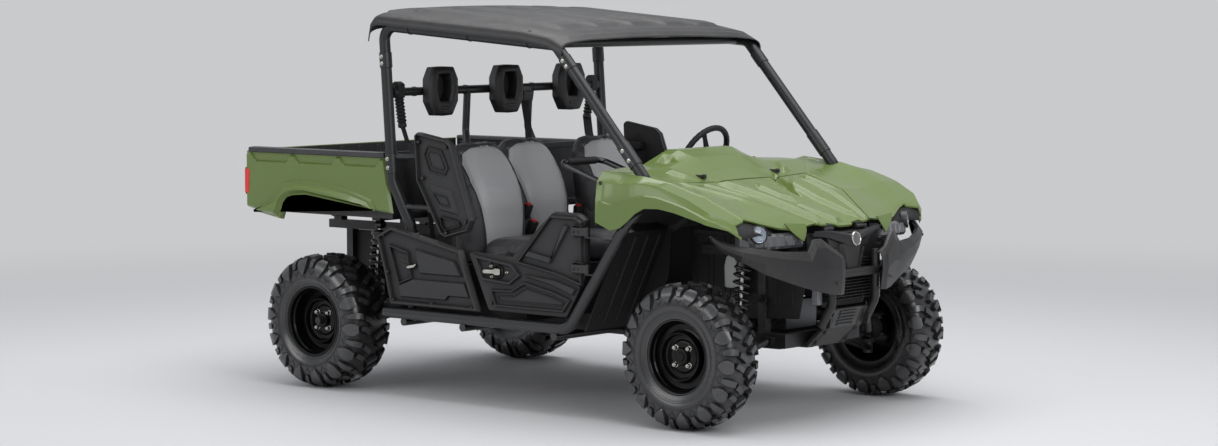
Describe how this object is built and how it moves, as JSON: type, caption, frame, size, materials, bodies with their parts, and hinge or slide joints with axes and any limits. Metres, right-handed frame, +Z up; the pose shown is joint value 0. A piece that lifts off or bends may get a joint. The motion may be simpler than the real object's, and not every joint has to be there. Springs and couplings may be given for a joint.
{
  "type": "side by side utility vehicle",
  "caption": "Open side by side utility vehicle with a bench of seats, half doors, roll cage with roof, tipping bed, tailgate and steered front wheels.",
  "frame": {"origin": "on the ground under the middle of the vehicle", "axes": "+X towards the front, +Y to the vehicle's left, +Z up"},
  "size_m": [3.03, 1.61, 1.7518],
  "materials": {
    "frame_steel": "satin black paint",
    "cage_steel": "satin dark grey powder coat",
    "bar_steel": "gloss black paint",
    "green_plastic": "satin olive green moulded plastic",
    "black_plastic": "grained black moulded plastic",
    "grey_plastic": "dark grey moulded plastic",
    "seat_vinyl": "grey vinyl",
    "tyre_rubber": "dull black rubber",
    "wheel_steel": "gloss black paint",
    "cast_aluminium": "cast",
    "cast_iron": "cast",
    "spring_steel": "black paint",
    "lamp_lens": "clear and grey lens",
    "red_lens": "red lens",
    "grip_rubber": "soft black"
  },
  "bodies": {
    "chassis": {"main_frame": "frame_steel", "rear_subframe": "frame_steel", "front_subframe": "frame_steel", "hitch_receiver": "frame_steel", "side_bars": "bar_steel", "floor_pan": "black_plastic", "skid_plate": "grey_plastic", "engine_block": "cast_aluminium", "gearcases": "cast_aluminium", "front_suspension_arms": "frame_steel", "rear_suspension_arms": "frame_steel", "shock_absorbers": "spring_steel", "drive_shafts": "cast_iron", "rear_hub_carriers": "cast_iron", "cage_right": "cage_steel", "cage_left": "cage_steel", "cage_cross_bars": "cage_steel", "roof": "black_plastic", "headrests": "black_plastic", "seat_base": "black_plastic", "seat_cushions": "seat_vinyl", "seat_backs": "seat_vinyl", "shoulder_guards": "black_plastic", "side_panels": "black_plastic", "front_fenders": "green_plastic", "cowl": "green_plastic", "dashboard": "black_plastic", "inner_fenders": "black_plastic", "nose_grille": "black_plastic", "headlights": "lamp_lens", "front_bumper": "grey_plastic", "brush_guard": "cage_steel"},
    "hood_lid": {"hood": "green_plastic"},
    "right_door": {"door_right": "black_plastic"},
    "left_door": {"door_left": "black_plastic"},
    "steering_column": {"steering_wheel": "grip_rubber"},
    "rack": {"steering_rack": "frame_steel"},
    "right_knuckle": {"front_knuckle_right": "cast_iron"},
    "left_knuckle": {"front_knuckle_left": "cast_iron"},
    "front_right_wheel": {"front_tyre_right": "tyre_rubber", "front_rim_right": "wheel_steel"},
    "front_left_wheel": {"front_tyre_left": "tyre_rubber", "front_rim_left": "wheel_steel"},
    "rear_right_wheel": {"rear_tyre_right": "tyre_rubber", "rear_rim_right": "wheel_steel"},
    "rear_left_wheel": {"rear_tyre_left": "tyre_rubber", "rear_rim_left": "wheel_steel"},
    "bed": {"bed_box": "black_plastic", "bed_fenders": "green_plastic", "tail_lights": "red_lens"},
    "bed_gate": {"tailgate": "green_plastic"}
  },
  "joints": [
    {"name": "steering", "type": "hinge", "parent": "chassis", "child": "steering_column", "pos_m": [0.325, 0.4, 1.062], "axis": [-0.8829, 0, 0.4695], "range_deg": [-270, 270]},
    {"name": "rack_slide", "type": "slide", "parent": "chassis", "child": "rack", "axis": [0, 1, 0], "range_m": [-0.046, 0.046]},
    {"name": "right_steer", "type": "hinge", "parent": "chassis", "child": "right_knuckle", "pos_m": [1.105, -0.6005, 0.308], "axis": [0, 0, 1], "range_deg": [-28.5, 28.5]},
    {"name": "left_steer", "type": "hinge", "parent": "chassis", "child": "left_knuckle", "pos_m": [1.105, 0.6005, 0.308], "axis": [0, 0, 1], "range_deg": [-28.5, 28.5]},
    {"name": "front_right_spin", "type": "hinge", "parent": "right_knuckle", "child": "front_right_wheel", "pos_m": [1.105, -0.6835, 0.308], "axis": [0, 1, 0], "continuous": true},
    {"name": "front_left_spin", "type": "hinge", "parent": "left_knuckle", "child": "front_left_wheel", "pos_m": [1.105, 0.6835, 0.308], "axis": [0, 1, 0], "continuous": true},
    {"name": "rear_right_spin", "type": "hinge", "parent": "chassis", "child": "rear_right_wheel", "pos_m": [-1.03, -0.68, 0.308], "axis": [0, 1, 0], "continuous": true},
    {"name": "rear_left_spin", "type": "hinge", "parent": "chassis", "child": "rear_left_wheel", "pos_m": [-1.03, 0.68, 0.308], "axis": [0, 1, 0], "continuous": true},
    {"name": "hood_hinge", "type": "hinge", "parent": "chassis", "child": "hood_lid", "pos_m": [1.4, 0, 0.812], "axis": [0, 1, 0], "range_deg": [0, 60]},
    {"name": "right_door_hinge", "type": "hinge", "parent": "chassis", "child": "right_door", "pos_m": [0.606, -0.752, 0.722], "axis": [0, 0, 1], "range_deg": [0, 75]},
    {"name": "left_door_hinge", "type": "hinge", "parent": "chassis", "child": "left_door", "pos_m": [0.606, 0.752, 0.722], "axis": [0, 0, -1], "range_deg": [0, 75]},
    {"name": "bed_tip", "type": "hinge", "parent": "chassis", "child": "bed", "pos_m": [-1.38, 0, 0.755], "axis": [0, -1, 0], "range_deg": [0, 45]},
    {"name": "tailgate_hinge", "type": "hinge", "parent": "bed", "child": "bed_gate", "pos_m": [-1.503, 0, 0.808], "axis": [0, -1, 0], "range_deg": [0, 90]}
  ],
  "couplings": [
    {"joint": "rack_slide", "follows": "steering", "m_per_rad": -0.0094644},
    {"joint": "right_steer", "follows": "steering", "ratio": 0.1037},
    {"joint": "left_steer", "follows": "steering", "ratio": 0.1037}
  ]
}
